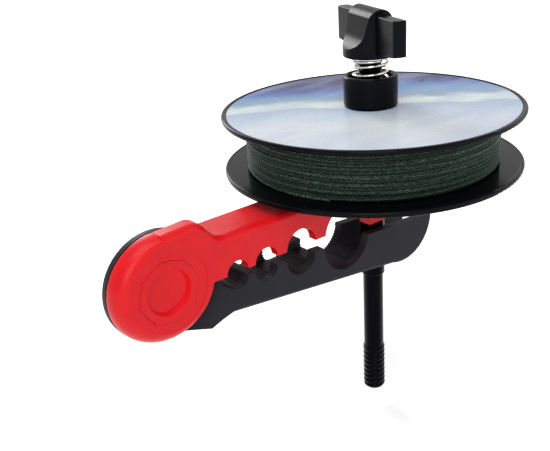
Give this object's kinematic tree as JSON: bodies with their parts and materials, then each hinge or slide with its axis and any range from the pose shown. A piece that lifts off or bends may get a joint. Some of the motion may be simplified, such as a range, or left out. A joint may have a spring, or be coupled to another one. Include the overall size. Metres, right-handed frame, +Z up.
{
  "type": "line spool winder",
  "caption": "Clip-on line winder: two hinged toothed jaws carry a spindle with a line spool held by a sprung cup and a wing knob.",
  "frame": {"origin": "on the spindle's axis, in the plane where the spool's lower flange rests", "axes": "+X along the jaws from the hinge to their free end, +Y along the hinge's axis, +Z up the spindle towards the wing knob"},
  "size_m": [0.1551, 0.1, 0.1426],
  "materials": {
    "jaw_red": "satin",
    "jaw_black": "matte",
    "spool_black": "gloss",
    "fitting_black": "satin",
    "spindle_black": "satin",
    "plated_steel": "satin",
    "spring_steel": "polished",
    "insert_brass": "satin",
    "washer_nylon": "matte",
    "washer_rubber": "matte",
    "label_print": "gloss",
    "braid_green": "matte"
  },
  "bodies": {
    "frame": {"upper_jaw": "jaw_red", "hub_cap": "jaw_red", "hinge_pin": "plated_steel", "hinge_nut": "plated_steel", "hinge_washer": "washer_nylon", "torsion_spring": "spring_steel", "spindle": "spindle_black", "spindle_sleeve": "spindle_black", "roll_pin": "plated_steel", "lower_seat": "fitting_black", "seat_washer": "washer_rubber"},
    "jaw": {"lower_jaw": "jaw_black", "hub_rear_cap": "jaw_black"},
    "spool": {"spool_lower_flange": "spool_black", "spool_upper_flange": "spool_black", "spool_label": "label_print", "line_core": "braid_green", "line_winding": "braid_green", "pressure_cup": "fitting_black"},
    "carriage": {"thrust_washer": "plated_steel", "drag_spring": "spring_steel"},
    "knob": {"wing_knob": "fitting_black", "knob_insert": "insert_brass"}
  },
  "joints": [
    {"name": "jaw_hinge", "type": "hinge", "parent": "frame", "child": "jaw", "pos_m": [-0.0885, 0, -0.013], "axis": [0, 1, 0], "range_deg": [-4, 50], "stiffness_Nm_per_rad": 0.15, "springref_deg": -20.05},
    {"name": "spool_spin", "type": "hinge", "parent": "frame", "child": "spool", "pos_m": [0, 0, 0], "axis": [0, 0, 1], "continuous": true},
    {"name": "knob_travel", "type": "slide", "parent": "frame", "child": "carriage", "axis": [0, 0, 1], "range_m": [-0.00194, 0.00194], "deforming": ["drag_spring"]},
    {"name": "knob_turn", "type": "hinge", "parent": "carriage", "child": "knob", "pos_m": [0, 0, 0.0364], "axis": [0, 0, 1], "range_deg": [-350, 350]}
  ],
  "couplings": [
    {"joint": "knob_turn", "follows": "knob_travel", "rad_per_m": 3141.6}
  ]
}
